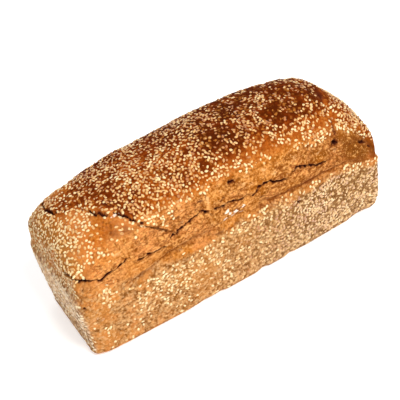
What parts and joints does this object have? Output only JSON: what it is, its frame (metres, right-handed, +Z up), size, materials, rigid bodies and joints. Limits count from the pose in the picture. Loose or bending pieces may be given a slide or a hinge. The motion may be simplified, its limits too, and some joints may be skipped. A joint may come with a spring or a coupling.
{
  "type": "spelt sesame tin loaf",
  "caption": "Tin-baked spelt loaf with straight tapered sides, a long domed crown torn along both sides and across one end, and sesame on its crust.",
  "frame": {"origin": "centre of the loaf's bounding box, on the flat base", "axes": "+X along the loaf, away from the torn flap at the -X end; +Y across it; +Z up out of the base towards the crown"},
  "size_m": [0.277, 0.1042, 0.1251],
  "materials": {
    "crust": "baked wholemeal crust, matt to faintly satin, toasted darker on the crown",
    "sesame": "hulled sesame seed, satin, toasted cream"
  },
  "bodies": {
    "root": {"loaf": "crust"}
  },
  "joints": []
}
